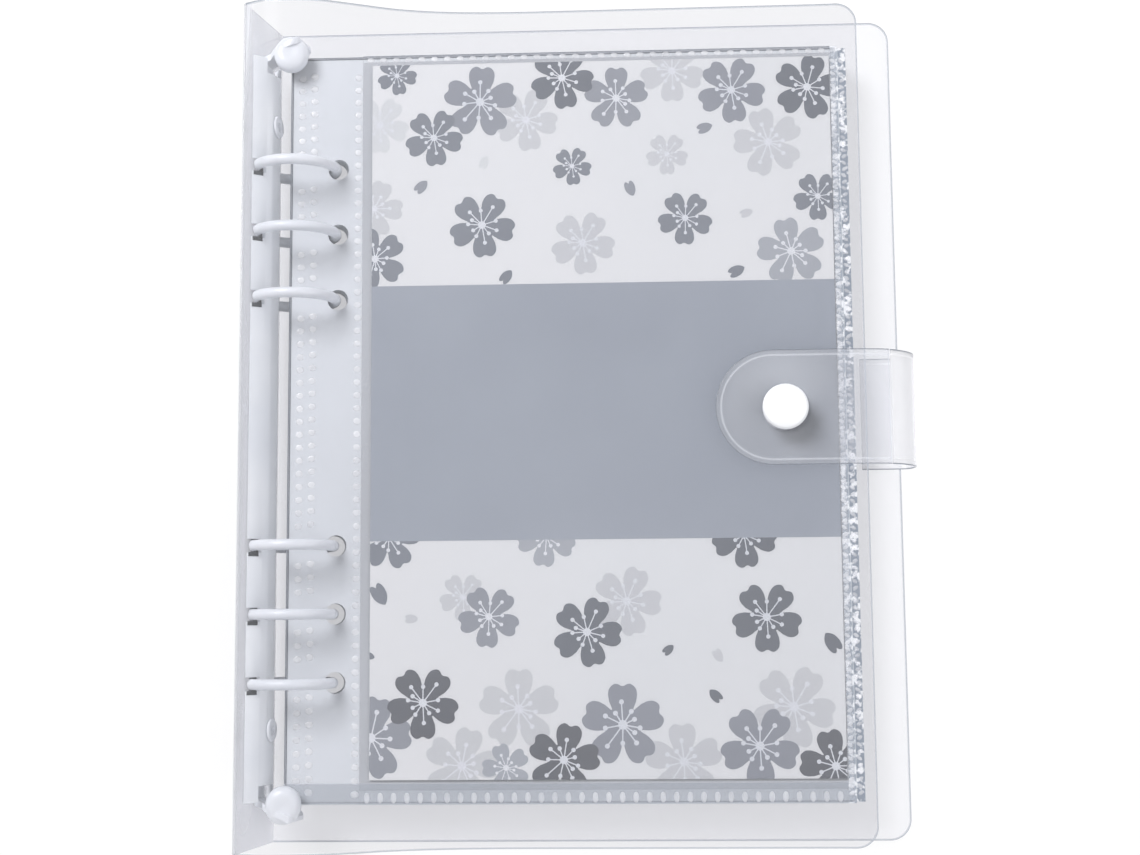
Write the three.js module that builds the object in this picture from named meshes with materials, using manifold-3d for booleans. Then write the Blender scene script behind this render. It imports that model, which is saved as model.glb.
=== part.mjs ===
// Six-ring A5 envelope binder with clear film covers, closed and lying on its back cover.
// Millimetres, +Z up. X runs from the spine to the fore-edge, Y along the spine.

import * as THREE from 'three';
import Module from 'manifold-3d';
import { mergeVertices } from 'three/addons/utils/BufferGeometryUtils.js';

const wasm = await Module();
wasm.setup();

// Covers
const coverHeight = 236;
const backPastSleeve = 16.832;
const frontPastSleeve = 5.42;
const coverFilm = 0.5;
const cornerRadius = 6;
const foldGap = 0.3;

// Ring mechanism, seen end on: "out" points from the spine to the rings, "along" up the spine
const spineLean = 10;
const ringRadius = 11.5;
const wireRadius = 1.5;
const ringClearance = 2.1;
const ringOpenAngle = 9.5;
const ringPitch = 19;
const middleGap = 70;
const slotReach = 7.6;
const plateFromEnd = 13;
const plateWidth = 17;
const plateRise = 4.2;
const plateSheet = 0.8;
const plateFoot = -1.3;
const railSheet = 0.8;
const railShort = 5;
const railUp = [0.35, 6.2];
const rivetShare = 0.4;

// Sleeves
const sleevePastPlate = 1.2;
const stripPast = 5;
const stripWidth = 21;
const sleeveFilm = 0.25;
const pocketDepth = 0.45;
const cardWidth = 131;
const cardThickness = 0.3;
const cardRoom = [1, 4.8];
const holeRadius = 3;
const stackOverhang = 2.5;
const stackLayers = 7;
const layerGap = 0.5;
const layerDepth = 3;
const sleeveLift = 0.08;

// Strap and press stud
const strapAlong = 1.8;
const strapWidth = 32;
const strapFilm = 0.6;
const strapOut = 2.8;
const strapFoldIn = 5;
const weldWidth = 11;
const snapRise = 3.5;
const tipPastSnap = 3.2;
const snapFromEdge = 22.754;
const capRadius = 6.35;

const degrees = Math.PI / 180;
const lean = spineLean * degrees;
const out = new THREE.Vector2(Math.cos(lean), Math.sin(lean));
const along = new THREE.Vector2(-Math.sin(lean), Math.cos(lean));
const plateLength = coverHeight - 2 * plateFromEnd;
const ringsAlong = [-2, -1, 0, 0, 1, 2].map((n, i) => n * ringPitch + (i < 3 ? -1 : 1) * (middleGap / 2));
const lastRing = ringsAlong[5];
const rivetsAlong = lastRing + rivetShare * (plateLength / 2 - lastRing);
const railLength = plateLength - 2 * railShort;
const sleeveHeight = plateLength + 2 * sleevePastPlate;
const slotDepth = Math.sqrt(ringRadius ** 2 - slotReach ** 2);
const ringOuter = ringRadius + wireRadius;

// The widest points are the strap's loop and the top of the spine; X is measured from midway
const ringHeight = coverFilm + ringClearance + ringOuter;
const ringX = -81.26;
const ringCentre = new THREE.Vector2(ringX, ringHeight);
const plateCentre = ringCentre.clone().addScaledVector(out, -slotDepth);

// A point in the section: how far out from the slots' plane, and how far along the spine
function inSection(outward, upward) {
  return plateCentre.clone().addScaledVector(out, outward).addScaledVector(along, upward);
}

const spineInner = plateFoot - 0.1;
const spineBottom = (coverFilm + foldGap - inSection(spineInner, 0).y) / along.y;
const spineTop = ringOuter + ringClearance - slotDepth * Math.sin(lean) + 0.7;
const backHinge = new THREE.Vector2(inSection(spineInner - coverFilm, spineBottom).x, coverFilm);
const frontHinge = inSection(spineInner - coverFilm / 2, spineTop + foldGap / 2);
const pageTop = ringHeight - 0.4;
const sleeveLeft = ringX + ringRadius - 13.4;
const sleeveRight = sleeveLeft + stripWidth + cardWidth + stripPast;
const sleeveBase = pageTop - 2 * sleeveFilm - pocketDepth;

const clearVinyl = { color: 0xf1f2f5, roughness: 0.18, metalness: 0, transparent: true, opacity: 0.3 };
const whiteEnamel = { color: 0xe8ebf0, roughness: 0.3, metalness: 0.1 };
const whitePlastic = { color: 0xf4f4f6, roughness: 0.35, metalness: 0 };
const greyPrint = { color: 0xc9ccd3, roughness: 0.6, metalness: 0 };

const binder = new THREE.Group();

function add(name, geometry, look) {
  const mesh = new THREE.Mesh(geometry, new THREE.MeshStandardMaterial(look));
  mesh.name = name;
  binder.add(mesh);
}

function toManifold(geometry) {
  const bare = geometry.index ? geometry.toNonIndexed() : geometry.clone();
  bare.deleteAttribute('normal');
  bare.deleteAttribute('uv');
  const merged = mergeVertices(bare, 1e-4);
  const mesh = new wasm.Mesh({
    numProp: 3,
    vertProperties: new Float32Array(merged.attributes.position.array),
    triVerts: new Uint32Array(merged.index.array),
  });
  return new wasm.Manifold(mesh);
}

function toGeometry(solid) {
  const mesh = solid.getMesh();
  const geometry = new THREE.BufferGeometry();
  geometry.setAttribute('position', new THREE.BufferAttribute(new Float32Array(mesh.vertProperties), 3));
  geometry.setIndex(Array.from(mesh.triVerts));
  return geometry;
}

// A section in X and Z, pushed along Y between two values
function pushed(points, from, to) {
  const shape = new THREE.Shape(points.map((p) => new THREE.Vector2(p.x, p.y)));
  const geometry = new THREE.ExtrudeGeometry(shape, { depth: to - from, bevelEnabled: false });
  geometry.rotateX(Math.PI / 2);
  geometry.translate(0, to, 0);
  return geometry;
}

function boxBetween(low, high) {
  const geometry = new THREE.BoxGeometry(high[0] - low[0], high[1] - low[1], high[2] - low[2]);
  return geometry.translate((low[0] + high[0]) / 2, (low[1] + high[1]) / 2, (low[2] + high[2]) / 2);
}

// A film that follows a line of points in X and Z, its thickness laid on the left of the line
function filmSection(line, thickness) {
  const upper = line.map((p, i) => {
    const before = line[Math.max(i - 1, 0)];
    const after = line[Math.min(i + 1, line.length - 1)];
    const way = after.clone().sub(before).normalize();
    return new THREE.Vector2(p.x - way.y * thickness, p.y + way.x * thickness);
  });
  return [...line, ...upper.reverse()];
}

// What is left of a film after rounding the corners at its right-hand end
function roundedEnd(right, halfHeight, radius, left) {
  const shape = new THREE.Shape();
  shape.moveTo(left, -halfHeight);
  shape.lineTo(right - radius, -halfHeight);
  shape.absarc(right - radius, -halfHeight + radius, radius, -Math.PI / 2, 0, false);
  shape.lineTo(right, halfHeight - radius);
  shape.absarc(right - radius, halfHeight - radius, radius, 0, Math.PI / 2, false);
  shape.lineTo(left, halfHeight);
  return new THREE.ExtrudeGeometry(shape, { depth: 80, bevelEnabled: false, curveSegments: 8 }).translate(0, 0, -10);
}

function cylinderUp(x, y, radius, from, to, segments = 32) {
  const geometry = new THREE.CylinderGeometry(radius, radius, to - from, segments);
  return geometry.rotateX(Math.PI / 2).translate(x, y, (from + to) / 2);
}

// Covers: the back one lies flat, the front one climbs over the rings
const backRight = sleeveRight + backPastSleeve;
const backFlat = pushed(
  [
    new THREE.Vector2(backHinge.x + foldGap, 0),
    new THREE.Vector2(backRight, 0),
    new THREE.Vector2(backRight, coverFilm),
    new THREE.Vector2(backHinge.x + foldGap, coverFilm),
  ],
  -coverHeight / 2,
  coverHeight / 2,
);
const backOutline = roundedEnd(backRight, coverHeight / 2, cornerRadius, backHinge.x - 1);
add('back_cover', toGeometry(toManifold(backFlat).intersect(toManifold(backOutline))), clearVinyl);

const spineLine = [inSection(spineInner, spineBottom), inSection(spineInner, spineTop)];
const spinePanel = toManifold(pushed(filmSection(spineLine, coverFilm), -coverHeight / 2, coverHeight / 2));

const frontStart = frontHinge.clone().add(new THREE.Vector2(foldGap + coverFilm / 2, 0));
const frontRight = sleeveRight + frontPastSleeve;
const overRings = ringHeight + ringOuter + ringClearance;
const frontRest = pageTop + 1.2;
const frontCurve = new THREE.CatmullRomCurve3(
  [
    [frontStart.x, frontStart.y],
    [ringX - 6, overRings + 0.1],
    [ringX, overRings + 0.3],
    [ringX + 7, overRings - 0.5],
    [ringX + 17, overRings - 4.6],
    [ringX + 29, overRings - 10],
    [ringX + 41, frontRest + 1.2],
    [ringX + 56, frontRest - 0.3],
    [ringX + 85, frontRest - 0.5],
    [ringX + 85 + (frontRight - 111 - ringX) * 0.6664, frontRest - 0.05],
    [frontRight - 26, frontRest],
    [frontRight - 9, frontRest + 0.15],
    [frontRight, frontRest + 0.8],
  ].map(([x, z]) => new THREE.Vector3(x, 0, z)),
  false,
  'centripetal',
);
const frontLine = frontCurve.getSpacedPoints(56).map((p) => new THREE.Vector2(p.x, p.z));
const frontSheet = toManifold(pushed(filmSection(frontLine, coverFilm), -coverHeight / 2, coverHeight / 2));
const frontOutline = toManifold(roundedEnd(frontRight, coverHeight / 2, cornerRadius, frontStart.x - 5));

function frontAt(x) {
  const next = frontLine.findIndex((p) => p.x > x);
  const [a, b] = [frontLine[next - 1], frontLine[next]];
  return a.y + ((b.y - a.y) * (x - a.x)) / (b.x - a.x);
}

const snapX = frontRight - snapFromEdge;
const snapBase = frontAt(snapX);
const pinRadius = 1.7;
const pinHole = toManifold(cylinderUp(snapX, strapAlong, pinRadius + 0.25, snapBase - 2, snapBase + 12));
add('front_cover', toGeometry(frontSheet.intersect(frontOutline).subtract(pinHole)), clearVinyl);

// Ring plate: an arched strip with a slot for each wire, seated on the spine
const plateRadius = ((plateWidth / 2) ** 2 + plateRise ** 2) / (2 * plateRise);
const plateAxis = plateFoot + plateRise - plateRadius;

function arcInSection(radius, foot, count) {
  const reach = Math.acos((foot - plateAxis) / radius);
  return Array.from({ length: count + 1 }, (_, i) => {
    const angle = reach - (2 * reach * i) / count;
    return inSection(plateAxis + radius * Math.cos(angle), radius * Math.sin(angle));
  });
}

const plateSection = [
  ...arcInSection(plateRadius, plateFoot, 18),
  ...arcInSection(plateRadius - plateSheet, plateFoot, 18).reverse(),
].reverse();

// A box in the mechanism's own directions: outward, along Y and upward
function boxInSection(outward, y, upward) {
  const corners = [
    inSection(outward[0], upward[0]),
    inSection(outward[1], upward[0]),
    inSection(outward[1], upward[1]),
    inSection(outward[0], upward[1]),
  ];
  return toManifold(pushed(corners, y[0], y[1]));
}

// A round bar that points outward from the spine
function barOutward(profile, y, segments = 24) {
  const geometry = new THREE.LatheGeometry(profile.map(([r, n]) => new THREE.Vector2(r, n)), segments);
  geometry.rotateX(Math.PI / 2).rotateZ(Math.PI).rotateX(-Math.PI / 2).rotateZ(-Math.PI / 2);
  geometry.rotateY(-lean).translate(plateCentre.x, y, plateCentre.y);
  return geometry;
}

let plate = toManifold(pushed(plateSection, -plateLength / 2, plateLength / 2));
for (const y of ringsAlong) {
  for (const side of [-1, 1]) {
    const upward = side > 0 ? [5.2, 9.4] : [-9.4, -5.2];
    plate = plate.subtract(boxInSection([-3, 4], [y - wireRadius - 0.4, y + wireRadius + 0.4], upward));
  }
}
for (const end of [-1, 1]) {
  const notch = [plateLength / 2 - 4.4, plateLength / 2 + 2];
  const y = end > 0 ? notch : [-notch[1], -notch[0]];
  plate = plate.subtract(boxInSection([-0.9, 5], y, [-5.2, 5.2]));
}
for (const y of [-rivetsAlong, rivetsAlong]) {
  plate = plate.subtract(toManifold(barOutward([[0, -3], [2.3, -3], [2.3, 4], [0, 4]], y)));
}

// Carrier rails and the twelve half rings, each rail turning on its outer edge
const railOut = [-1.15, -1.15 + railSheet];

// A solid made from circles about a path, as a bent wire is
function bentWire(centre, radius, from, to, y, thickness, steps = 12, sides = 12) {
  const path = new THREE.CatmullRomCurve3(
    Array.from({ length: steps + 1 }, (_, i) => {
      const angle = from + ((to - from) * i) / steps;
      return new THREE.Vector3(centre.x + radius * Math.cos(angle), y, centre.y + radius * Math.sin(angle));
    }),
  );
  const circle = new THREE.Shape();
  for (let i = 0; i < sides; i++) {
    const angle = (2 * Math.PI * i) / sides;
    const point = [thickness * Math.cos(angle), thickness * Math.sin(angle)];
    if (i) circle.lineTo(...point);
    else circle.moveTo(...point);
  }
  return new THREE.ExtrudeGeometry(circle, { steps, bevelEnabled: false, extrudePath: path });
}

const tipGap = 0.15 / ringRadius;
const slotAngle = Math.PI - Math.asin(slotReach / ringRadius);
const wireFoot = railOut[1] + 0.06;
for (const [side, word] of [[1, 'upper'], [-1, 'lower']]) {
  let rail = boxInSection(railOut, [-railLength / 2, railLength / 2], side > 0 ? railUp : [-railUp[1], -railUp[0]]);
  for (const y of [-rivetsAlong, rivetsAlong]) {
    rail = rail.subtract(toManifold(barOutward([[0, -3], [3.1, -3], [3.1, 2], [0, 2]], y)));
  }
  add(`${word}_ring_rail`, toGeometry(rail), whiteEnamel);
  ringsAlong.forEach((y, i) => {
    const from = lean + side * tipGap;
    const to = lean + side * (slotAngle + 0.16);
    const wire = toManifold(bentWire(ringCentre, ringRadius, from, to, y, wireRadius));
    const above = boxInSection([wireFoot, 40], [y - 5, y + 5], [-40, 40]);
    add(`${word}_half_ring_${i + 1}`, toGeometry(wire.intersect(above)), whiteEnamel);
  });
}
add('ring_plate', toGeometry(plate), whiteEnamel);

// Rivets hold the plate to the spine
for (const [y, word] of [[rivetsAlong, 'top'], [-rivetsAlong, 'bottom']]) {
  const crest = plateFoot + plateRise;
  const back = spineInner - coverFilm;
  const profile = [
    [0, back - 0.7],
    [4, back - 0.7],
    [4, back - 0.05],
    [1.9, back - 0.05],
    [1.9, crest + 0.05],
    [3.3, crest + 0.05],
    [3, crest + 0.6],
    [1.3, crest + 0.6],
    [1.2, crest - 2.4],
    [0, crest - 2.4],
  ];
  add(`${word}_rivet`, barOutward(profile, y), whiteEnamel);
}
let spineCut = spinePanel;
for (const y of [-rivetsAlong, rivetsAlong]) {
  spineCut = spineCut.subtract(toManifold(barOutward([[0, -5], [2.1, -5], [2.1, 0], [0, 0]], y)));
}
add('spine_panel', toGeometry(spineCut), clearVinyl);

// End levers: a tongue under the plate's end and a rounded tab that leans outward
const leverSheet = 1.4;
for (const [end, word] of [[1, 'top'], [-1, 'bottom']]) {
  const y0 = plateLength / 2;
  const side = [
    [y0 - 4.1, -1.05],
    [y0 - 0.2, -1.05],
    [y0 + 1.2, -0.2],
    [y0 + 4.6, 8.9],
    [y0 + 5.6, 10.3],
    [y0 + 5.2, 11.1],
    [y0 + 4.2, 11.2],
    [y0 + 3.4, 10.2],
    [y0 - 0.3, 0.1 + leverSheet / 2],
    [y0 - 0.9, 0],
    [y0 - 4.1, 0],
  ];
  const shape = new THREE.Shape(side.map(([y, n]) => new THREE.Vector2(y, n)));
  const slab = new THREE.ExtrudeGeometry(shape, { depth: 12, bevelEnabled: false });
  // the slab's axes are turned so that they run along Y, outward and upward
  slab.translate(0, 0, -6);
  const swap = new THREE.Matrix4().makeBasis(
    new THREE.Vector3(0, 1, 0),
    new THREE.Vector3(out.x, 0, out.y),
    new THREE.Vector3(-along.x, 0, -along.y),
  );
  slab.applyMatrix4(swap).translate(plateCentre.x, 0, plateCentre.y);
  const outline = new THREE.Shape();
  outline.moveTo(-2.9, -2);
  outline.lineTo(2.9, -2);
  outline.lineTo(2.9, 1.6);
  outline.lineTo(5, 3.4);
  outline.lineTo(6, 6);
  outline.absarc(3, 8.3, 3, 0, Math.PI / 2, false);
  outline.absarc(-3, 8.3, 3, Math.PI / 2, Math.PI, false);
  outline.lineTo(-6, 6);
  outline.lineTo(-5, 3.4);
  outline.lineTo(-2.9, 1.6);
  const cutter = new THREE.ExtrudeGeometry(outline, { depth: 30, bevelEnabled: false, curveSegments: 6 });
  const place = new THREE.Matrix4().makeBasis(
    new THREE.Vector3(along.x, 0, along.y),
    new THREE.Vector3(out.x, 0, out.y),
    new THREE.Vector3(0, 1, 0),
  );
  cutter.applyMatrix4(place).translate(plateCentre.x, y0 - 10, plateCentre.y);
  let lever = toManifold(slab).intersect(toManifold(cutter));
  if (end < 0) lever = lever.mirror([0, 1, 0]);
  add(`${word}_lever`, toGeometry(lever), whiteEnamel);
}

// Holes for the wires follow the ring, with room for it to open
const turn = ringOpenAngle * degrees;
const pivot = inSection((railOut[0] + railOut[1]) / 2, -railUp[1]);
const arm = ringCentre.clone().sub(pivot);
const opened = arm.clone().rotateAround(new THREE.Vector2(), -turn).add(pivot);
const holeCentre = ringCentre.clone().add(opened).multiplyScalar(0.5);
const holes = ringsAlong.map((y) =>
  toManifold(bentWire(holeCentre, ringRadius, lean + 0.55, -1.1, y, holeRadius, 9, 18)),
);

function punched(solid) {
  return holes.reduce((left, hole) => left.subtract(hole), solid);
}

// Front sleeve: a back film, and a front film over the pocket, open towards the rings
const pocketLeft = sleeveLeft + stripWidth;
const seam = 1.8;
const halfSleeve = sleeveHeight / 2;
const backFilm = boxBetween([sleeveLeft, -halfSleeve, sleeveBase], [sleeveRight, halfSleeve, sleeveBase + sleeveFilm]);
const pocketBlock = boxBetween([pocketLeft, -halfSleeve, sleeveBase], [sleeveRight, halfSleeve, pageTop]);
const pocketFloor = sleeveBase + sleeveFilm;
const pocketRoom = boxBetween(
  [pocketLeft - 1, -halfSleeve + seam + 2, pocketFloor],
  [sleeveRight - seam, halfSleeve - seam, pocketFloor + pocketDepth],
);
const sleeve = toManifold(backFilm).add(toManifold(pocketBlock)).subtract(toManifold(pocketRoom));
add('front_sleeve', toGeometry(punched(sleeve)), clearVinyl);

const cardRight = sleeveRight - seam - 0.5;
const cardTop = halfSleeve - seam - cardRoom[0];
const cardBottom = -halfSleeve + seam + cardRoom[1];
const card = boxBetween(
  [cardRight - cardWidth, cardBottom, pocketFloor + sleeveLift],
  [cardRight, cardTop, pocketFloor + sleeveLift + cardThickness],
);
add('cover_card', card, greyPrint);

// The other sleeves lie on the back cover and climb to the rings
const stackTop = sleeveBase - sleeveLift;
const stackFloor = coverFilm + sleeveLift;
const stackAtRings = ringHeight - 6.6;
const stackRight = sleeveRight + stackOverhang;
const climb = new THREE.CatmullRomCurve3(
  [
    [sleeveLeft + 0.3, stackAtRings + 0.2],
    [sleeveLeft + 11, stackAtRings],
    [sleeveLeft + 21, stackAtRings - 1.1],
    [sleeveLeft + 33, stackFloor + 4],
    [sleeveLeft + 46, stackFloor + 1.2],
    [sleeveLeft + 62, stackFloor + 0.15],
  ].map(([x, z]) => new THREE.Vector3(x, 0, z)),
);
const stackSection = [
  ...climb.getPoints(20).map((p) => new THREE.Vector2(p.x, p.z)),
  new THREE.Vector2(sleeveLeft + 70, stackFloor),
  new THREE.Vector2(stackRight, stackFloor),
  new THREE.Vector2(stackRight, stackTop),
  new THREE.Vector2(sleeveLeft + 0.3, stackTop),
];
const stackEnd = halfSleeve - 0.3;
let stack = toManifold(pushed(stackSection, -stackEnd, stackEnd));
const stackPitch = (stackTop - stackFloor) / stackLayers;
for (let layer = 1; layer < stackLayers; layer++) {
  const level = stackFloor + layer * stackPitch;
  const band = [level - layerGap / 2, level + layerGap / 2];
  for (const end of [-1, 1]) {
    const reach = [end * (stackEnd - layerDepth), end * (stackEnd + 1)].sort((a, b) => a - b);
    const far = stackRight + 1;
    stack = stack.subtract(toManifold(boxBetween([pocketLeft, reach[0], band[0]], [far, reach[1], band[1]])));
  }
  const inner = stackRight - layerDepth;
  const side = boxBetween([inner, -stackEnd - 1, band[0]], [stackRight + 1, stackEnd + 1, band[1]]);
  stack = stack.subtract(toManifold(side));
}
add('envelope_sleeves', toGeometry(punched(stack)), clearVinyl);

// Strap: a loop welded inside the back cover's edge, and a flap that folds over the front cover
const weldTop = coverFilm + 0.02 + strapFilm;
const strapLow = strapAlong - strapWidth / 2;
const strapHigh = strapAlong + strapWidth / 2;
const strapRight = backRight + strapOut;
const strapLevel = snapBase + coverFilm + snapRise;
// the flap turns about the film's outer face, so that it can open flat
const strapHinge = new THREE.Vector2(backRight - strapFoldIn, strapLevel + strapFilm - 1.6);
const strapTip = snapX - strapWidth / 2 - tipPastSnap;

// The film's outer face is laid off from a line that turns anticlockwise seen from the front
function strapFilmAlong(points, count) {
  const curve = new THREE.CatmullRomCurve3(
    points.map(([x, z]) => new THREE.Vector3(x, 0, z)),
    false,
    'centripetal',
  );
  const line = curve.getSpacedPoints(count).map((p) => new THREE.Vector2(p.x, p.z));
  return toManifold(pushed(filmSection(line.reverse(), strapFilm), strapLow, strapHigh));
}

const loop = strapFilmAlong(
  [
    [backRight - weldWidth, weldTop],
    [backRight - weldWidth / 2, weldTop],
    [backRight - 0.6, weldTop],
    [backRight + 0.6, weldTop + 0.08],
    [strapRight - 0.9, weldTop + 1],
    [strapRight, weldTop + 4],
    [strapRight - 0.6, weldTop + 9],
    [strapHinge.x + 4.2, strapHinge.y - 4.4],
    [strapHinge.x + foldGap / 3, strapHinge.y - strapFilm - foldGap],
  ],
  30,
);
add('strap_loop', toGeometry(loop), clearVinyl);
const strapSheet = strapFilmAlong(
  [
    [strapHinge.x - foldGap, strapHinge.y - strapFilm],
    [strapHinge.x - 4, strapLevel - 0.6],
    [strapHinge.x - 10, strapLevel],
    [snapX, strapLevel],
    [strapTip, strapLevel],
  ],
  16,
);
const strapShape = new THREE.Shape();
strapShape.moveTo(strapRight + 5, strapLow);
strapShape.lineTo(strapRight + 5, strapHigh);
strapShape.lineTo(strapTip + strapWidth / 2, strapHigh);
strapShape.absarc(strapTip + strapWidth / 2, strapAlong, strapWidth / 2, Math.PI / 2, (3 * Math.PI) / 2, false);
const strapOutline = new THREE.ExtrudeGeometry(strapShape, { depth: 60, bevelEnabled: false, curveSegments: 20 });
const strap = strapSheet.intersect(toManifold(strapOutline.translate(0, 0, -10))).subtract(pinHole);
add('closure_strap', toGeometry(strap), clearVinyl);

// Press stud: cap and socket on the strap, stud and back cap on the front cover
function turned(profile, segments = 32) {
  const geometry = new THREE.LatheGeometry(profile.map(([r, z]) => new THREE.Vector2(r, z)), segments);
  return geometry.rotateX(Math.PI / 2).translate(snapX, strapAlong, 0);
}

const coverTop = snapBase + coverFilm;
const strapUnder = strapLevel;
const strapOver = strapLevel + strapFilm;
add(
  'snap_back_cap',
  turned([
    [0, snapBase - 0.95],
    [5.6, snapBase - 0.95],
    [6, snapBase - 0.55],
    [5.8, snapBase - 0.05],
    [pinRadius, snapBase - 0.05],
    [pinRadius, coverTop + 0.5],
    [0, coverTop + 0.5],
  ]),
  whitePlastic,
);
add(
  'snap_stud',
  turned([
    [pinRadius + 0.1, coverTop + 0.04],
    [5.2, coverTop + 0.04],
    [5.2, coverTop + 0.7],
    [3.2, coverTop + 0.9],
    [2, coverTop + 1.3],
    [2.3, coverTop + 2.1],
    [1.9, coverTop + 2.5],
    [0, coverTop + 2.5],
    [0, coverTop + 0.55],
    [pinRadius + 0.1, coverTop + 0.55],
    [pinRadius + 0.1, coverTop + 0.04],
  ]),
  whitePlastic,
);
add(
  'snap_socket',
  turned([
    [3.6, coverTop + 1.1],
    [5.3, coverTop + 1.1],
    [5.5, strapUnder - 0.06],
    [pinRadius + 0.1, strapUnder - 0.06],
    [pinRadius + 0.1, strapUnder - 0.55],
    [2.6, strapUnder - 0.6],
    [2.6, coverTop + 1.9],
    [3.6, coverTop + 1.1],
  ]),
  whitePlastic,
);
add(
  'snap_cap',
  turned([
    [0, strapUnder - 0.5],
    [pinRadius, strapUnder - 0.5],
    [pinRadius, strapOver + 0.05],
    [capRadius, strapOver + 0.05],
    [capRadius, strapOver + 0.9],
    [capRadius - 0.5, strapOver + 1.6],
    [capRadius - 2, strapOver + 2.1],
    [2, strapOver + 2.35],
    [0, strapOver + 2.4],
  ]),
  whitePlastic,
);

export default binder;
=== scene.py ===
# A clear six-ring binder for cash envelopes, closed and lying on its back cover.
# Metres, +Z up. The spine is on the left, the strap comes from the right.
import math

import bpy
from mathutils import Matrix, Vector


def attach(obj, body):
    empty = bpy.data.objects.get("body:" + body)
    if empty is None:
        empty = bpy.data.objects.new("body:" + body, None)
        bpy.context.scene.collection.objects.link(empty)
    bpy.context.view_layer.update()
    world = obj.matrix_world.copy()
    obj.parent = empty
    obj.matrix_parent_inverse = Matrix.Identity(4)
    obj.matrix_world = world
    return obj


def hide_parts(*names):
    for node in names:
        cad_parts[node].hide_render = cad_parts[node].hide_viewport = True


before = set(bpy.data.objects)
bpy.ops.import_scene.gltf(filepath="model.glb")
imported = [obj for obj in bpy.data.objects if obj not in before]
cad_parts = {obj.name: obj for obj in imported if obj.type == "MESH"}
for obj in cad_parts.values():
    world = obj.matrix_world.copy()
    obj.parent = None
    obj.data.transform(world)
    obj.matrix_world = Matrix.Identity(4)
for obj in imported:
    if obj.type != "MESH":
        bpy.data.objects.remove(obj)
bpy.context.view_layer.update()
mm = 0.001


def fromHex(code):  # a colour picked on screen, in the linear values that sockets take
    parts = [int(code[i:i + 2], 16) / 255 for i in (0, 2, 4)]
    return [p / 12.92 if p <= 0.04045 else ((p + 0.055) / 1.055) ** 2.4 for p in parts] + [1]


view = {
    "place": (16.94, -57.1, 488.1),
    "right": (0.999, -0.0081, -0.0436),
    "up": (0.013, 0.9934, 0.114),
    "back": (0.0424, -0.1145, 0.9925),
    "lens": 53.68,
}
cameraData = bpy.data.cameras.new("camera")
cameraData.lens = view["lens"]
cameraData.sensor_width = 36
cameraData.clip_start = 0.01
camera = bpy.data.objects.new("camera", cameraData)
bpy.context.scene.collection.objects.link(camera)
cameraAxes = Matrix((view["right"], view["up"], view["back"])).transposed().to_4x4()
camera.matrix_world = Matrix.Translation(Vector(view["place"]) * mm) @ cameraAxes
bpy.context.scene.camera = camera
bpy.context.scene.view_settings.view_transform = "Standard"


class Wire:  # one socket of a material, with the arithmetic that the materials use
    def __init__(self, recipe, socket):
        self.recipe = recipe
        self.socket = socket

    def maths(self, operation, first, second=None):
        values = {0: first} if second is None else {0: first, 1: second}
        return self.recipe.node("ShaderNodeMath", {"operation": operation}, values)

    def __add__(self, other):
        return self.maths("ADD", self, other)

    def __radd__(self, other):
        return self.maths("ADD", other, self)

    def __sub__(self, other):
        return self.maths("SUBTRACT", self, other)

    def __rsub__(self, other):
        return self.maths("SUBTRACT", other, self)

    def __mul__(self, other):
        return self.maths("MULTIPLY", self, other)

    def __rmul__(self, other):
        return self.maths("MULTIPLY", other, self)

    def __truediv__(self, other):
        return self.maths("DIVIDE", self, other)

    def __pow__(self, other):
        return self.maths("POWER", self, other)

    def __abs__(self):
        return self.maths("ABSOLUTE", self)

    def above(self, other):
        return self.maths("MAXIMUM", self, other)

    def below(self, other):
        return self.maths("MINIMUM", self, other)

    def ramp(self, low, high):  # 0 below low, 1 above high
        values = {"Value": self, "From Min": low, "From Max": high}
        return self.recipe.node("ShaderNodeMapRange", {"clamp": True}, values)


class Recipe:  # the nodes of one material, or of the world
    def __init__(self, name, store=bpy.data.materials):
        self.owner = store.new(name)
        self.owner.use_nodes = True
        self.tree = self.owner.node_tree
        self.tree.nodes.clear()

    def node(self, kind, settings=None, values=None, output=0):
        item = self.tree.nodes.new(kind)
        for key, value in (settings or {}).items():
            setattr(item, key, value)
        for key, value in (values or {}).items():
            if isinstance(value, Wire):
                self.tree.links.new(value.socket, item.inputs[key])
            else:
                item.inputs[key].default_value = value
        return Wire(self, item.outputs[output]) if item.outputs else None

    def place(self):
        return self.node("ShaderNodeTexCoord", output="Object")

    def apart(self):  # X, Y and Z in millimetres
        split = self.node("ShaderNodeSeparateXYZ", values={0: self.place()})
        outputs = split.socket.node.outputs
        return [Wire(self, outputs[i]) * 1000 for i in range(3)]

    def facingUp(self):  # 1 on level faces, 0 on upright ones
        normal = self.node("ShaderNodeTexCoord", output="Normal")
        split = self.node("ShaderNodeSeparateXYZ", values={0: normal})
        return abs(Wire(self, split.socket.node.outputs[2])).ramp(0.3, 0.8)

    def grain(self, scale, detail=2.0, rough=0.5):
        values = {"Vector": self.place(), "Scale": scale, "Detail": detail, "Roughness": rough}
        return self.node("ShaderNodeTexNoise", values=values)

    def colour(self, mask, first, second):
        settings = {"data_type": "RGBA"}
        return self.node("ShaderNodeMix", settings, {0: mask, 6: first, 7: second}, output=2)

    def bump(self, height, distance, strength=1.0):
        values = {"Height": height, "Distance": distance, "Strength": strength}
        return self.node("ShaderNodeBump", values=values)

    def surface(self, **values):
        names = {key.replace("_", " "): value for key, value in values.items()}
        return self.node("ShaderNodeBsdfPrincipled", values=names)

    def mixed(self, factor, first, second):
        return self.node("ShaderNodeMixShader", values={0: factor, 1: first, 2: second})

    def done(self, shader, end="ShaderNodeOutputMaterial"):
        self.node(end, values={"Surface": shader})
        return self.owner


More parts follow.
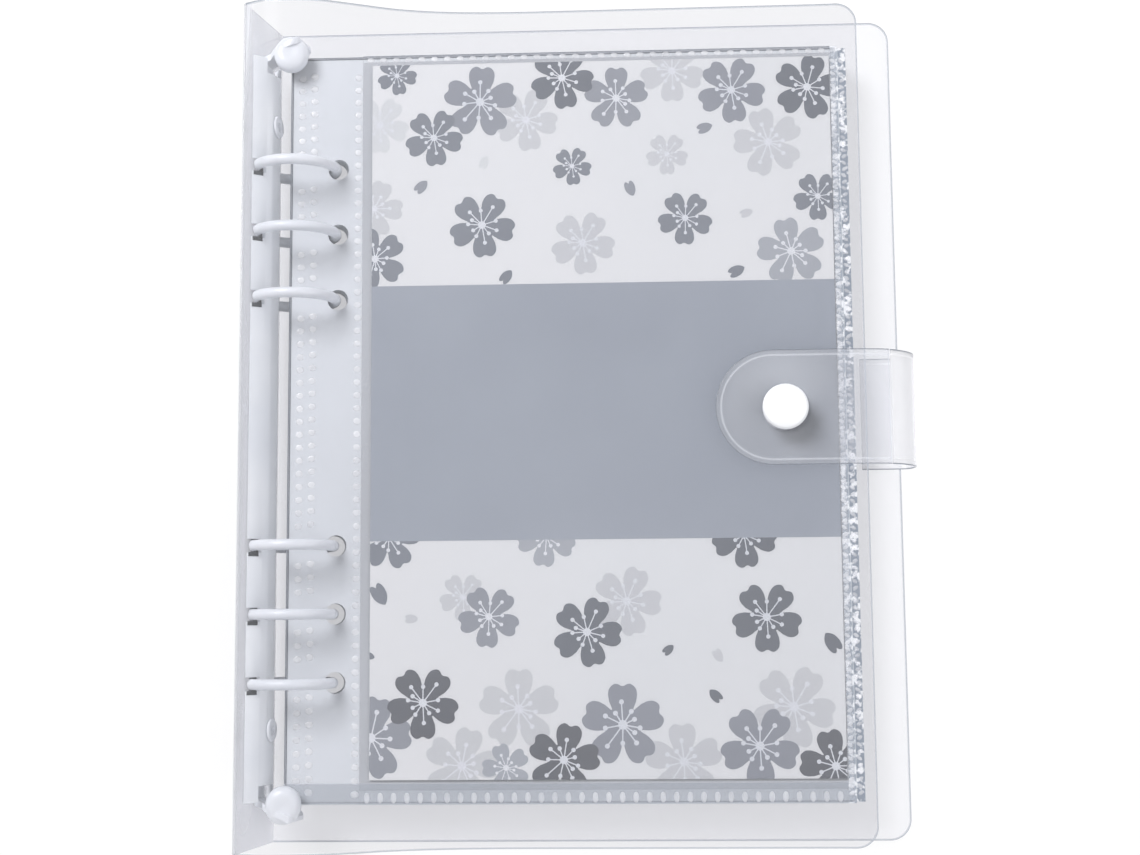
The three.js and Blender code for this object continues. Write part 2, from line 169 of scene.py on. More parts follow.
def lamp(name, place, target, size, power):
    data = bpy.data.lights.new(name, "AREA")
    data.shape = "RECTANGLE"
    data.size, data.size_y = size
    data.energy = power
    obj = bpy.data.objects.new(name, data)
    bpy.context.scene.collection.objects.link(obj)
    obj.location = place
    obj.rotation_euler = (Vector(place) - Vector(target)).to_track_quat("Z", "Y").to_euler()


studio = {
    "keyPlace": (-0.55, 0.62, 0.95),
    "keySize": (0.55, 0.55),
    "keyPower": 10.4,
    "fillPlace": (0.75, -0.25, 0.9),
    "fillPower": 3.6,
    "fillSize": (0.9, 0.9),
    "roomLevel": 0.63,
    "floorTone": "f4f4f6",
    "floorWhite": 0.75,
    "floorSize": 6,
    "floorBelow": 0.0004,
}
lamp("keyLamp", studio["keyPlace"], (0, 0, 0), studio["keySize"], studio["keyPower"])
lamp("fillLamp", studio["fillPlace"], (0, 0, 0), studio["fillSize"], studio["fillPower"])


def roomLight():  # seen directly or through film it is white, otherwise it is dimmer
    room = Recipe("room", bpy.data.worlds)
    direct = room.node("ShaderNodeLightPath", output="Is Camera Ray")
    through = room.node("ShaderNodeLightPath", output="Is Transmission Ray")
    levels = {"Value": direct.above(through), "To Min": studio["roomLevel"], "To Max": 1}
    strength = room.node("ShaderNodeMapRange", values=levels)
    sky = room.node("ShaderNodeBackground", values={"Color": (1, 1, 1, 1), "Strength": strength})
    return room.done(sky, "ShaderNodeOutputWorld")


bpy.context.scene.world = roomLight()


def floorMaterial():
    recipe = Recipe("paleFloor")
    direct = recipe.node("ShaderNodeLightPath", output="Is Camera Ray")
    plain = recipe.surface(Base_Color=fromHex(studio["floorTone"]), Roughness=0.9)
    white = recipe.node("ShaderNodeEmission", values={"Color": (1, 1, 1, 1), "Strength": 1.0})
    return recipe.done(recipe.mixed(direct * studio["floorWhite"], plain, white))


def deselect():
    if bpy.context.object and bpy.context.object.mode != "OBJECT":
        bpy.ops.object.mode_set(mode="OBJECT")
    bpy.ops.object.select_all(action="DESELECT")


def choose(*objects):
    deselect()
    for obj in objects:
        obj.select_set(True)
    bpy.context.view_layer.objects.active = objects[0]


deselect()
bpy.ops.mesh.primitive_plane_add(size=studio["floorSize"], location=(0, 0, -studio["floorBelow"]))
floor = bpy.context.object
floor.name = "floor"
floor.data.materials.append(floorMaterial())
print("stage is ready")


def rimDistance(recipe, low, high, radius):  # millimetres inside a rounded rectangle's outline
    x, y, _ = recipe.apart()
    centre = [(a + b) / 2 for a, b in zip(low, high)]
    half = [(b - a) / 2 - radius for a, b in zip(low, high)]
    qx = abs(x - centre[0]) - half[0]
    qy = abs(y - centre[1]) - half[1]
    outside = (qx.above(0.0) ** 2.0 + qy.above(0.0) ** 2.0) ** 0.5
    return radius - outside - qx.above(qy).below(0.0)


film = {
    "waves": 14,
    "hazeFrom": (0.3, 0.75),
    "beadEdges": (0.1, 0.4),
    "beadHaze": 0.16,
    "seamEdge": 0.3,
    "glintFrom": (0.5, 0.6),
    "glintTone": "f9fafc",
    "footTone": "b3b8bf",
    "ripple": 22,
    "rippleDepth": 0.0012,
    "rippleStrength": 0.25,
    "refraction": 1.45,
}


def seamOn(recipe, look, haze, colour):  # a weld at the right edge with painted glints, and a plain one at the bottom
    x, y, _ = recipe.apart()
    side = (x - look["seam"][0]).ramp(0.0, film["seamEdge"])
    foot = (look["seam"][1] - y).ramp(0.0, film["seamEdge"])
    # painted highlight: noise speckles the right weld with bright glints
    glint = recipe.grain(look["glints"], 2.0, 0.6).ramp(*film["glintFrom"])
    sideTone = recipe.colour(glint, fromHex(look["seamTone"]), fromHex(film["glintTone"]))
    haze = haze + side.above(foot) * look["seamHaze"]
    return haze, recipe.colour(side, recipe.colour(foot, colour, fromHex(film["footTone"])), sideTone)


def filmMaterial(name, look):
    recipe = Recipe(name)
    cloud = recipe.grain(look.get("waves", film["waves"]), 1.5).ramp(*film["hazeFrom"])
    haze = cloud * look["hazeRange"] + look["haze"]
    colour = fromHex(look["tone"])
    if "outline" in look:
        inside = rimDistance(recipe, *look["outline"])
        # painted shade: the rim is a darker line along the film's outline, shade painted at the cut edge
        # and beside it
        edge = 1 - inside.ramp(look["rim"] * 0.5, look["rim"])
        if "flatOnly" in look:  # a thick block's sides stay free of the rim
            edge = edge * recipe.facingUp()
        haze = haze + edge * look["rimHaze"]
        colour = recipe.colour(edge, colour, fromHex(look["rimShadeTone"]))
        if "seam" in look:
            haze, colour = seamOn(recipe, look, haze, colour)
        if "bead" in look:
            bead = 1 - abs(inside - look["bead"]).ramp(*film["beadEdges"])
            haze = haze + bead * film["beadHaze"]
    gloss = recipe.node("ShaderNodeFresnel", values={"IOR": film["refraction"]})
    normal = recipe.bump(recipe.grain(film["ripple"], 1.0), film["rippleDepth"], film["rippleStrength"])
    vinyl = recipe.surface(Base_Color=colour, Roughness=look["roughness"], Normal=normal)
    clear = recipe.node("ShaderNodeBsdfTransparent", values={"Color": fromHex(look["clearTone"])})
    return recipe.done(recipe.mixed((haze + gloss * look["gloss"]).below(1.0), clear, vinyl))


# outline: lower left, upper right and corner radius, in millimetres; seam: where X and Y begin
coverFilm = {
    "haze": 0.02, "hazeRange": 0.02, "tone": "f1f2f5", "roughness": 0.12, "clearTone": "f9f9fa",
    "gloss": 0.5, "rimShadeTone": "b4b9c1", "rim": 0.6, "rimHaze": 0.5,
}
frontLook = dict(coverFilm, waves=9, clearTone="f6f6f7", outline=((-140, -118), (79.26, 118), 6))
backLook = dict(coverFilm, haze=0.05, clearTone="fbfbfc", outline=((-140, -118), (90.67, 118), 6),
                rimHaze=0.45)
strapLook = dict(coverFilm, haze=0.03, hazeRange=0.14, tone="e9ecf2", waves=40,
                 outline=((37.31, -14.2), (120, 17.8), 15.9), bead=1.5,
                 rimShadeTone="8d939c", rim=0.4, rimHaze=0.3)
loopLook = dict(strapLook, haze=0.3, hazeRange=0.1, tone="fafafc",
                outline=((60, -14.2), (120, 17.8), 0.5))
spineLook = dict(coverFilm, haze=0.2, hazeRange=0.1)
sleeveLook = dict(coverFilm, haze=0.02, hazeRange=0.015, tone="f0f2f6",
                  outline=((-83.16, -106.2), (73.84, 106.2), 0.3),
                  rimShadeTone="6b727c", rim=0.45, rimHaze=0.75, flatOnly=True,
                  seam=(71.7, -100.4), seamTone="a2aab4", seamHaze=0.36, glints=520)
stackLook = dict(coverFilm, haze=0.82, hazeRange=0.1, tone="f6f9fc", clearTone="fafbfc", waves=20,
                 outline=((-82.86, -105.9), (76.34, 105.9), 0.3),
                 rimShadeTone="4c535d", rim=0.5, rimHaze=0.7, flatOnly=True,
                 seam=(73.9, -130), seamTone="8d96a2", seamHaze=0.2, glints=520)
weldLook = dict(coverFilm, haze=0.3, hazeRange=0.3, waves=90, tone="fdfdff", roughness=0.22)

enamelFinish = {
    "clouds": 60,
    "cloudFrom": (0.35, 0.7),
    "cloudTone": "dfe3ea",
    "cloudShare": 0.5,
    "roughSpread": 0.1,
    "pebbles": 900,
    "pebbleDepth": 0.00004,
    "pebbleStrength": 0.4,
    "coat": 0.3,
}


def enamelMaterial(name, tone, roughness):
    recipe = Recipe(name)
    cloud = recipe.grain(enamelFinish["clouds"], 3).ramp(*enamelFinish["cloudFrom"])
    cloudTone = fromHex(enamelFinish["cloudTone"])
    colour = recipe.colour(cloud * enamelFinish["cloudShare"], fromHex(tone), cloudTone)
    rough = cloud * enamelFinish["roughSpread"] + roughness
    pebbles = recipe.grain(enamelFinish["pebbles"], 2)
    normal = recipe.bump(pebbles, enamelFinish["pebbleDepth"], enamelFinish["pebbleStrength"])
    coat = enamelFinish["coat"]
    shell = recipe.surface(Base_Color=colour, Roughness=rough, Normal=normal, Coat_Weight=coat)
    return recipe.done(shell)


inkFinish = {"clouds": 26, "cloudFrom": (0.35, 0.65), "roughness": 0.5}


def inkMaterial(name, tone, second):
    recipe = Recipe(name)
    cloud = recipe.grain(inkFinish["clouds"], 1.5).ramp(*inkFinish["cloudFrom"])
    colour = recipe.colour(cloud, fromHex(tone), fromHex(second))
    return recipe.done(recipe.surface(Base_Color=colour, Roughness=inkFinish["roughness"]))


def settle(piece, body, slotName, *nodes):
    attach(piece, body)
    if nodes:
        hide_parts(*nodes)


def applyAll(piece):
    choose(piece)
    for modifier in list(piece.modifiers):
        bpy.ops.object.modifier_apply(modifier=modifier.name)


copying = {"merge": 0.000004, "flatten": 0.6, "segments": 2, "angle": 32}


def softCopy(name, node, width, material, segments=copying["segments"], angle=copying["angle"]):
    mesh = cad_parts[node].data.copy()  # the node's shape, to be given eased edges
    mesh.materials.clear()
    piece = bpy.data.objects.new(name, mesh)
    bpy.context.scene.collection.objects.link(piece)
    choose(piece)
    if mesh.has_custom_normals:
        bpy.ops.mesh.customdata_custom_splitnormals_clear()
    bpy.ops.object.mode_set(mode="EDIT")
    bpy.ops.mesh.select_all(action="SELECT")
    bpy.ops.mesh.remove_doubles(threshold=copying["merge"])
    bpy.ops.mesh.dissolve_limited(angle_limit=math.radians(copying["flatten"]))
    bpy.ops.object.mode_set(mode="OBJECT")
    if width:
        bevel = piece.modifiers.new("easedEdges", "BEVEL")
        bevel.width = width * mm
        bevel.segments = segments
        bevel.limit_method = "ANGLE"
        bevel.angle_limit = math.radians(angle)
        bevel.harden_normals = False
        applyAll(piece)
    choose(piece)
    bpy.ops.object.shade_smooth_by_angle(angle=math.radians(angle))
    piece.data.materials.append(material)
    return piece


def cut(place, normal, closed=False):  # in edit mode, keeps what lies on the normal's side
    bpy.ops.mesh.select_all(action="SELECT")
    bpy.ops.mesh.bisect(plane_co=place, plane_no=normal, use_fill=closed, clear_inner=True)


rings = {
    "centre": (-81.26, 15.6),
    "radius": 11.5,
    "wire": 1.5,
    "lean": 10,
    "slotDepth": 8.63,
    "foot": -0.29,
    "tipGap": 0.15,
    "tipEase": 0.3,
    "easeAngle": 50,
    "smoothAngle": 40,
    "along": (-73, -54, -35, 35, 54, 73),
}
enamel = enamelMaterial("whiteEnamel", "eceef3", 0.26)
plateEnamel = enamelMaterial("plateEnamel", "f4f6f9", 0.3)
# painted shade: the rails take a dark tone that stands in for the shade seen through the slots, not their
# own white enamel
railPaintedShade = enamelMaterial("railPaintedShade", "3a4048", 0.4)
lean = math.radians(rings["lean"])
outward = Vector((math.cos(lean), 0, math.sin(lean)))
upward = Vector((-math.sin(lean), 0, math.cos(lean)))


def halfRing(name, side, y):
    centre = Vector((rings["centre"][0], y, rings["centre"][1])) * mm
    deselect()
    bpy.ops.mesh.primitive_torus_add(
        major_segments=80, minor_segments=20, major_radius=rings["radius"] * mm,
        minor_radius=rings["wire"] * mm, location=centre, rotation=(math.pi / 2, 0, 0))
    ring = bpy.context.object
    ring.name = name
    bpy.ops.object.transform_apply(location=True, rotation=True, scale=True)
    bpy.ops.object.mode_set(mode="EDIT")
    tip = centre + upward * side * rings["tipGap"] * mm
    foot = centre + outward * (rings["foot"] - rings["slotDepth"]) * mm
    cut(tip, upward * side, closed=True)
    cut(foot, outward, closed=True)
    bpy.ops.object.mode_set(mode="OBJECT")
    bevel = ring.modifiers.new("easedTip", "BEVEL")
    bevel.width = rings["tipEase"] * mm
    bevel.segments = 3
    bevel.limit_method = "ANGLE"
    bevel.angle_limit = math.radians(rings["easeAngle"])
    applyAll(ring)
    bpy.ops.object.shade_smooth_by_angle(angle=math.radians(rings["smoothAngle"]))
    ring.data.materials.append(enamel)
    return ring


for word, side in (("upper", 1), ("lower", -1)):
    for number, y in enumerate(rings["along"], 1):
        ring = halfRing(f"{word}Wire{number}", side, y)
        settle(ring, f"{word}_rings", "white_enamel", f"{word}_half_ring_{number}")
print("rings are ready")

pad = {
    "centre": (-82.4, 105.9, 18.6),
    "half": (4.9, 5.3, 3.0),
    "dish": 0.55,
    "dishReach": 0.72,
    "fullness": 0.7,
    "lean": 8,
}


def padOn(tongue, name, end):  # the rounded thumb pad, joined to the lever's tongue
    deselect()
    x, y, z = pad["centre"]
    bpy.ops.mesh.primitive_uv_sphere_add(segments=48, ring_count=24, radius=1, location=(0, 0, 0))
    dome = bpy.context.object
    for vertex in dome.data.vertices:
        flat = math.hypot(vertex.co.x, vertex.co.y)
        vertex.co.z = math.copysign(abs(vertex.co.z) ** pad["fullness"], vertex.co.z)
        if vertex.co.z > 0 and flat < pad["dishReach"]:
            dip = (math.cos(flat / pad["dishReach"] * math.pi) + 1) / 2
            vertex.co.z -= pad["dish"] / pad["half"][2] * dip
    dome.scale = Vector(pad["half"]) * mm
    dome.rotation_euler = (math.radians(-pad["lean"] * end), math.radians(pad["lean"]), 0)
    dome.location = Vector((x, y * end, z)) * mm
    bpy.ops.object.transform_apply(location=True, rotation=True, scale=True)
    bpy.ops.object.shade_smooth()
    dome.data.materials.append(enamel)
    choose(tongue, dome)
    bpy.ops.object.join()
    tongue.name = name
    return tongue


eased = {"plate": 0.22, "rivet": 0.12, "lever": 0.42}
plate = softCopy("ringPlateArch", "ring_plate", eased["plate"], plateEnamel)
settle(plate, "spine", "white_enamel", "ring_plate")
for word in ("top", "bottom"):
    rivet = softCopy(f"{word}RivetHead", f"{word}_rivet", eased["rivet"], enamel)
    settle(rivet, "spine", "white_enamel", f"{word}_rivet")
    tongue = softCopy(f"{word}LeverTongue", f"{word}_lever", eased["lever"], enamel, 3)
    lever = padOn(tongue, f"{word}LeverPad", 1 if word == "top" else -1)
    settle(lever, f"{word}_end_lever", "white_enamel", f"{word}_lever")

# painted shade: dark sheets at the slot ends, where the slot openings lie in shade
slotShade = {
    "plateRadius": 10.72,  # the arch's outer face and how far its axis is behind the slots
    "plateAxis": -7.8,
    "angle": 42.5,
    "size": (0.1, 1.15, 3.0),
    "below": 2.35,
    "tones": ("1c2026", "2b3038"),
}


def slotShades():  # painted shade: a dark sheet on the arch beside the wire, where the end of each slot lies in shade
    turn = math.radians(slotShade["angle"])
    deep = slotShade["plateAxis"] - rings["slotDepth"] + slotShade["plateRadius"] * math.cos(turn)
    x, z = rings["centre"]
    onArch = Vector((x, 0, z)) + outward * deep + upward * slotShade["plateRadius"] * math.sin(turn)
    shades = []
    for y in rings["along"]:
        deselect()
        place = onArch + Vector((0, y - slotShade["below"], 0))
        bpy.ops.mesh.primitive_cube_add(size=1, location=place * mm, rotation=(0, -lean - turn, 0))
        bpy.context.object.scale = Vector(slotShade["size"]) * mm
        bpy.ops.object.transform_apply(location=True, rotation=True, scale=True)
        shades.append(bpy.context.object)
    choose(*shades)
    bpy.ops.object.join()
    shades[0].name = "slotShades"
    shades[0].data.materials.append(inkMaterial("slotPaintedShade", *slotShade["tones"]))
    return shades[0]


settle(slotShades(), "spine", "white_enamel")
# painted shade: the rails get the dark tone that stands for shade inside the slots
for word in ("upper", "lower"):
    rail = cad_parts[f"{word}_ring_rail"]
    rail.data.materials.clear()
    rail.data.materials.append(railPaintedShade)
print("mechanism is ready")

stud = {
    "tone": "f6f6f8",
    "roughness": 0.32,
    "pieces": (  # node, body and how far its edges are eased
        ("snap_cap", "strap", 0.25),
        ("snap_socket", "strap", 0.1),
        ("snap_stud", "front", 0.1),
        ("snap_back_cap", "front", 0.1),
    ),
}
studPlastic = enamelMaterial("studPlastic", stud["tone"], stud["roughness"])
for node, body, width in stud["pieces"]:
    part = softCopy(f"{node}_turned", node, width, studPlastic)
    settle(part, body, "white_plastic", node)
print("press stud is ready")

covers = {  # piece: node, body, look and how far its edges are eased
    "frontFilm": ("front_cover", "front", frontLook, 0.0),
    "spineFilm": ("spine_panel", "spine", spineLook, 0.12),
    "strapFlap": ("closure_strap", "strap", strapLook, 0.12),
    "strapLoopFilm": ("strap_loop", "back", loopLook, 0.12),
}
for name, (node, body, look, width) in covers.items():
    sheet = softCopy(name, node, width, filmMaterial(f"{name}Vinyl", look), 2, 30)
    sheet.visible_shadow = False  # film this clear casts next to no shadow
    settle(sheet, body, "clear_film", node)
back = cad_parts["back_cover"]
back.visible_shadow = False
back.data.materials.clear()
back.data.materials.append(filmMaterial("backVinyl", backLook))
print("covers are ready")

for node, look in (("front_sleeve", sleeveLook), ("envelope_sleeves", stackLook)):
    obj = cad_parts[node]
    obj.data.materials.clear()
    obj.data.materials.append(filmMaterial(f"{node}_film", look))
    obj.visible_shadow = node == "envelope_sleeves"

welds = {
    "rows": (-79.8, -76.3, -63.5),
    "pitch": 3.7,
    "dot": (1.15, 1.0, 0.14),
    "dotPast": 3.6,
    "sunk": 0.2,
    "stagger": 0.6,
    "slant": (0.85, 0.55, 0.14),
    "slantBack": (0.85, 0.5, 0.14),
    "slantTurn": 0.6,
    "slantShift": 0.2,
    "topDot": (1.1, 0.7, 0.12),
    "bottomDot": (0.8, 1.5, 0.12),
    "pocket": (-60.0, 72),
    "end": 103.5,
    "stripLevel": 14.5,
    "pocketLevel": 15.2,
    "right": ((72.6, 15.2), (75.2, 14.17)),  # X and level of each column
    "topRow": 104.9,
    "bottomRow": -104.4,
}


def weldDot():
    deselect()
    bpy.ops.mesh.primitive_uv_sphere_add(segments=10, ring_count=6, radius=1, location=(0, 0, 0))
    dot = bpy.context.object
    bpy.ops.object.mode_set(mode="EDIT")
    cut((0, 0, -welds["sunk"]), (0, 0, 1))
    bpy.ops.object.mode_set(mode="OBJECT")
    return dot


def scattered(name, template, spots, material):  # one shape copied to each place, turn and size
    copies = []
    for place, turn, size in spots:
        mesh = template.data.copy()
        turned = Matrix.Rotation(turn, 3, "Z")
        mesh.transform(Matrix.LocRotScale(Vector(place) * mm, turned, Vector(size) * mm))
        item = bpy.data.objects.new(name, mesh)
        bpy.context.scene.collection.objects.link(item)
        copies.append(item)
    choose(*copies)
    bpy.ops.object.join()
    piece = bpy.context.object
    piece.name = name
    piece.data.materials.clear()
    piece.data.materials.append(material)
    return piece


def weldSpots():  # place, turn and size of each dot
    spots = []
    count = int(2 * welds["end"] / welds["pitch"])
    for row, x in enumerate(welds["rows"]):
        for i in range(count + 1):
            y = -welds["end"] + i * welds["pitch"] + (row == 1) * welds["stagger"]
            clear = min(abs(y - ring) for ring in rings["along"]) > welds["dotPast"]
            if row == 2 or clear:  # the third row runs past the holes
                spots.append(((x, y, welds["stripLevel"]), 0, welds["dot"]))
    for x, z in welds["right"]:
        for i in range(count + 1):
            y = -welds["end"] + i * welds["pitch"]
            spots.append(((x, y, z), welds["slantTurn"], welds["slant"]))
            back = (x - welds["slantShift"], y + welds["pitch"] / 2, z)
            spots.append((back, -welds["slantTurn"], welds["slantBack"]))
    x, last = welds["pocket"]
    while x < last:
        spots.append(((x, welds["topRow"], welds["pocketLevel"]), 0, welds["topDot"]))
        spots.append(((x, welds["bottomRow"], welds["pocketLevel"]), 0, welds["bottomDot"]))
        x += welds["pitch"]
    return spots


dotShape = weldDot()
weldMaterial = filmMaterial("weldFilm", weldLook)
sleeveWelds = scattered("sleeveWelds", dotShape, weldSpots(), weldMaterial)
choose(sleeveWelds)
bpy.ops.object.shade_smooth()
sleeveWelds.visible_shadow = False
settle(sleeveWelds, "spine", "sleeve_film")
bpy.data.objects.remove(dotShape)
print("sleeves are ready")

printLook = {
    "left": -59.46, "right": 71.54, "bottom": -99.6, "top": 103.4,
    "band": (-33.9, 38.6),
    "bandRank": 8,  # steps above the lowest ink
    "bandTones": ("a5acb6", "9ea5b0"),
    "level": 14.885,
    "step": 0.007,
    "tones": {  # two ends for each ink, in the order in which they are laid
        "faintest": ("e4e5e5", "e0e1e2"),
        "faint": ("d9dadb", "d3d4d6"),
        "midGrey": ("979ba3", "8b8f99"),
        "lightGrey": ("b1b5bb", "a8acb3"),
        "grey": ("7f858f", "727883"),
        "slate": ("5d636f", "515763"),
        "darkSlate": ("4d505b", "42454f"),
    },
    "threadTones": ("f4f5f8", "e6e9ee"),
    "paleThreadTones": ("eff0f4", "e8eaee"),
    "threadTurn": 84,
    "threadWidth": 0.032,
    "threadDot": 0.062,
    "threadHeart": 0.115,
    "dotLift": 0.0015,  # keeps the dots and the heart just above the threads
    "heartLift": 0.0028,
    # x, y, radius and the way one petal points, in millimetres and degrees
    "blooms": [
        (-52.4, 100.3, 5.8, -81, "grey"), (-28.4, 92.0, 10.6, 86, "midGrey"),
        (-41.7, 81.7, 8.4, -84, "grey"), (-15.2, 86.4, 9.2, -81, "faint"),
        (-4.8, 98.6, 9.2, -81, "slate"), (10.7, 92.3, 9.2, 89, "midGrey"),
        (26.8, 100.0, 9.2, -90, "faint"), (43.6, 94.0, 9.7, -84, "midGrey"),
        (65.2, 94.4, 9.5, -69, "slate"), (53.8, 78.5, 10.0, 105, "faint"),
        (-57.3, 85.8, 8.4, -90, "faintest"), (-2.1, 72.6, 5.6, -85, "grey"),
        (25.0, 75.6, 6.1, -90, "faint"), (67.5, 62.5, 7.0, -91, "grey"),
        (-58.9, 61.2, 8.4, -3, "faint"), (-27.9, 55.9, 9.5, -84, "grey"),
        (0.8, 50.2, 9.2, -84, "faint"), (29.9, 56.9, 7.8, -93, "grey"),
        (59.6, 46.8, 9.7, 101, "lightGrey"), (-58.5, 46.6, 8.9, 37, "grey"),
        (-54.2, -33.0, 8.9, -60, "grey"), (-10.1, -33.1, 8.4, -97, "lightGrey"),
        (44.8, -33.1, 9.2, -85, "slate"), (-33.4, -49.6, 6.7, -90, "faint"),
        (-26.2, -55.1, 8.6, -95, "midGrey"), (1.0, -59.5, 9.7, -77, "slate"),
        (12.1, -51.1, 9.7, -76, "faint"), (50.6, -55.8, 9.7, -90, "slate"),
        (-44.6, -78.6, 10.0, -90, "darkSlate"), (-59.0, -88.1, 11.4, -66, "midGrey"),
        (-18.0, -80.4, 11.1, 90, "faint"), (-33.8, -95.8, 10.6, 75, "faint"),
        (-21.6, -96.4, 6.7, 108, "lightGrey"), (-5.7, -94.3, 10.0, 78, "darkSlate"),
        (10.6, -84.9, 11.4, 90, "midGrey"), (27.2, -95.0, 10.6, 93, "faint"),
        (48.0, -90.8, 10.9, -90, "midGrey"), (57.5, -80.3, 11.4, -84, "faint"),
        (68.5, -96.3, 10.0, 102, "darkSlate"),
    ],
    # x, y, length and the way the point looks
    "petals": [
        (-45.4, 67.3, 5.0, 45, "midGrey"), (-27.3, 74.0, 4.4, 70, "faintest"),
        (-21.1, 40.7, 5.0, 50, "grey"), (35.7, 83.0, 5.0, 20, "midGrey"),
        (14.4, 65.9, 5.0, -70, "midGrey"), (47.1, 58.0, 4.2, 20, "faint"),
        (44.0, 41.3, 5.3, 25, "grey"), (-56.9, -48.5, 7.0, -60, "grey"),
        (-48.0, -55.5, 4.2, 0, "faint"), (-59.6, -65.6, 3.3, -20, "grey"),
        (23.3, -64.6, 3.9, 40, "slate"), (37.0, -66.1, 4.4, -60, "faint"),
        (36.2, -77.2, 4.7, 135, "slate"), (68.5, -63.0, 6.7, 125, "slate"),
    ],
    # degrees from the middle of a petal, and how far it reaches there
    "bloomReach": ((0, 0.9), (5, 0.97), (10, 1.0), (16, 0.98), (22, 0.9), (27, 0.78), (31, 0.62),
                   (34, 0.45), (36, 0.34)),
    "petalReach": ((0, 1.0), (15, 0.86), (35, 0.72), (60, 0.62), (90, 0.58), (120, 0.66), (145, 0.82),
                   (158, 0.9), (168, 0.78), (180, 0.5)),
    # degrees and reach of each thread, for a petal along -Y
    "stamens": ((133, 0.54), (95, 0.44), (59, 0.63), (16, 0.43), (-21, 0.47), (-52, 0.33), (-81, 0.55),
                (-117, 0.38), (-149, 0.31), (176, 0.42), (153, 0.34)),
}

paper = {
    "tones": ("f6f5f4", "eeefef"),
    "clouds": 9,
    "cloudFrom": (0.3, 0.7),
    "fibres": 2600,
    "fibreDepth": 0.00003,
    "fibreStrength": 0.35,
    "roughness": 0.55,
}


def paperMaterial():
    recipe = Recipe("cardPaper")
    cloud = recipe.grain(paper["clouds"], 2).ramp(*paper["cloudFrom"])
    colour = recipe.colour(cloud, *map(fromHex, paper["tones"]))
    normal = recipe.bump(recipe.grain(paper["fibres"], 3), paper["fibreDepth"], paper["fibreStrength"])
    return recipe.done(recipe.surface(Base_Color=colour, Roughness=paper["roughness"], Normal=normal))


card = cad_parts["cover_card"]
card.data.materials.clear()
card.data.materials.append(paperMaterial())


def reachAt(table, angle):  # between two angles of a table, the reach is in proportion
    for (a, first), (b, second) in zip(table, table[1:]):
        if angle <= b:
            return first + (second - first) * (angle - a) / (b - a)
    return table[-1][1]


def bloomShape():  # five notched petals, one of them along +X
    deselect()
    bpy.ops.mesh.primitive_circle_add(vertices=90, radius=1, fill_type="TRIFAN", location=(0, 0, 0))
    bloom = bpy.context.object
    for vertex in bloom.data.vertices:
        if vertex.co.length > 0.5:
            angle = math.degrees(math.atan2(vertex.co.y, vertex.co.x)) % 72
            vertex.co *= reachAt(printLook["bloomReach"], min(angle, 72 - angle))
    return bloom


def petalShape():  # a pointed oval with a notch at its blunt end, its point along +X
    deselect()
    bpy.ops.mesh.primitive_circle_add(vertices=36, radius=1, fill_type="TRIFAN", location=(0, 0, 0))
    petal = bpy.context.object
    for vertex in petal.data.vertices:
        if vertex.co.length > 0.5:
            angle = abs(math.degrees(math.atan2(vertex.co.y, vertex.co.x)))
            vertex.co *= reachAt(printLook["petalReach"], angle)
    return petal


def stamenShape():  # fine threads with a dot at each end, round a small disc
    parts = []
    for angle, reach in printLook["stamens"]:
        way = math.radians(angle)
        tip = Vector((math.cos(way), math.sin(way), 0)) * reach
        deselect()
        bpy.ops.mesh.primitive_plane_add(size=1, location=tip / 2, rotation=(0, 0, way))
        bpy.context.object.scale = (reach, printLook["threadWidth"], 1)
        parts.append(bpy.context.object)
        tip.z = printLook["dotLift"]
        bpy.ops.mesh.primitive_circle_add(vertices=10, radius=printLook["threadDot"], fill_type="NGON",
                                          location=tip)
        parts.append(bpy.context.object)
    bpy.ops.mesh.primitive_circle_add(vertices=16, radius=printLook["threadHeart"], fill_type="NGON",
                                      location=(0, 0, printLook["heartLift"]))
    parts.append(bpy.context.object)
    choose(*parts)
    bpy.ops.object.join()
    bpy.ops.object.transform_apply(location=True, rotation=True, scale=True)
    return bpy.context.object


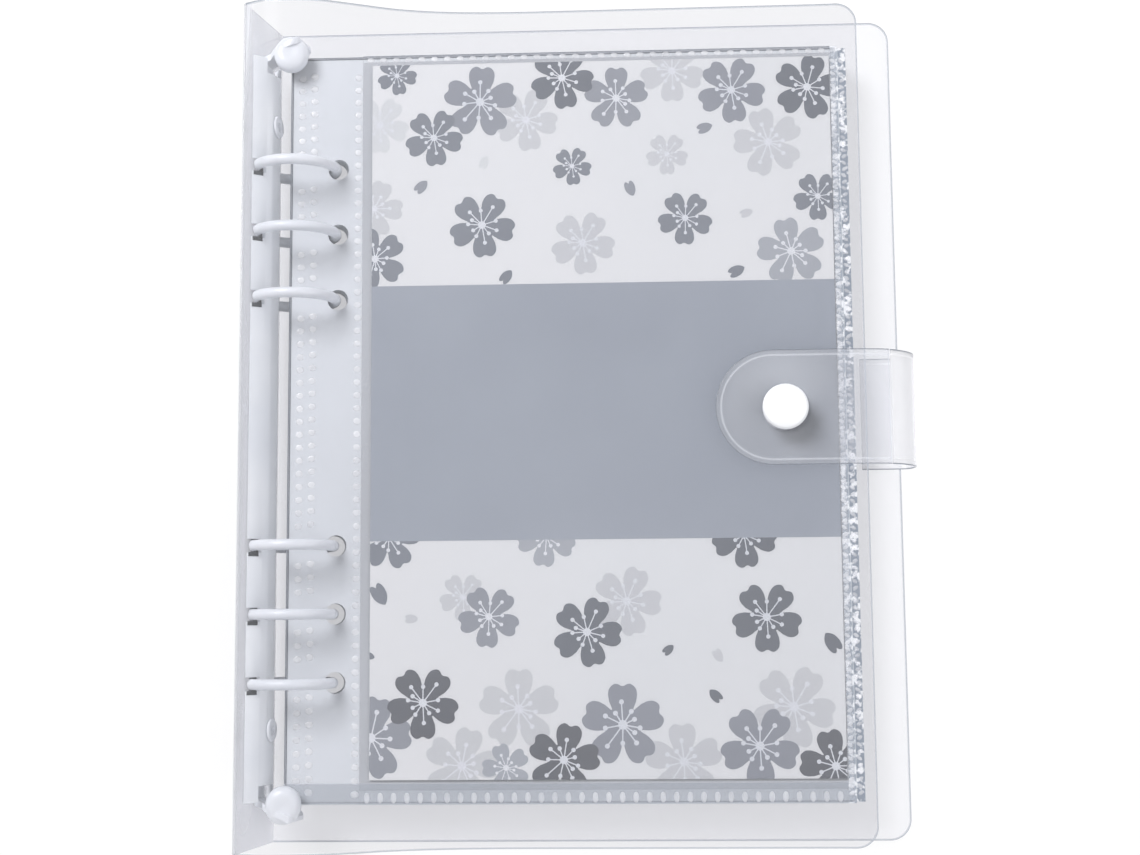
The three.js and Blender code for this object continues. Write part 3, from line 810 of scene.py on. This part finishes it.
def trimToCard(piece):
    choose(piece)
    bpy.ops.object.mode_set(mode="EDIT")
    cut(Vector((printLook["left"], 0, 0)) * mm, (1, 0, 0))
    cut(Vector((printLook["right"], 0, 0)) * mm, (-1, 0, 0))
    cut(Vector((0, printLook["bottom"], 0)) * mm, (0, 1, 0))
    cut(Vector((0, printLook["top"], 0)) * mm, (0, -1, 0))
    bpy.ops.object.mode_set(mode="OBJECT")


bloomForm, petalForm, stamenForm = bloomShape(), petalShape(), stamenShape()


def lay(name, form, spots, inkName, tones):  # one printed layer, trimmed to the card
    if spots:
        layer = scattered(name, form, spots, inkMaterial(inkName, *tones))
        trimToCard(layer)
        settle(layer, "spine", "printed_card")


for rank, (ink, tones) in enumerate(printLook["tones"].items()):
    level = printLook["level"] + rank * printLook["step"]
    threadLevel = level + printLook["step"] / 2
    white = printLook["paleThreadTones" if ink in ("faint", "faintest") else "threadTones"]
    bloomSpots, petalSpots, threadSpots = [], [], []
    for x, y, radius, way, tone in printLook["blooms"]:
        if tone == ink:
            turn = math.radians(way + printLook["threadTurn"])
            bloomSpots.append(((x, y, level), math.radians(way), (radius, radius, 1)))
            threadSpots.append(((x, y, threadLevel), turn, (radius, radius, 1)))
    for x, y, length, way, tone in printLook["petals"]:
        if tone == ink:
            petalSpots.append(((x, y, level), math.radians(way), (length / 2, length / 2, 1)))
    lay(f"{ink}Blooms", bloomForm, bloomSpots, f"{ink}Ink", tones)
    lay(f"{ink}Petals", petalForm, petalSpots, f"{ink}PetalInk", tones)
    lay(f"{ink}Stamens", stamenForm, threadSpots, f"{ink}ThreadInk", white)

deselect()
bandLow, bandHigh = printLook["band"]
bandLevel = printLook["level"] + printLook["bandRank"] * printLook["step"]
middle = ((printLook["left"] + printLook["right"]) / 2, (bandLow + bandHigh) / 2, bandLevel)
bpy.ops.mesh.primitive_grid_add(x_subdivisions=8, y_subdivisions=4, size=1, location=Vector(middle) * mm)
band = bpy.context.object
band.name = "greyBand"
band.scale = ((printLook["right"] - printLook["left"]) * mm, (bandHigh - bandLow) * mm, 1)
bpy.ops.object.transform_apply(location=True, rotation=True, scale=True)
band.data.materials.append(inkMaterial("bandInk", *printLook["bandTones"]))
settle(band, "spine", "printed_card")
for form in (bloomForm, petalForm, stamenForm):
    bpy.data.objects.remove(form)
print("card is ready")
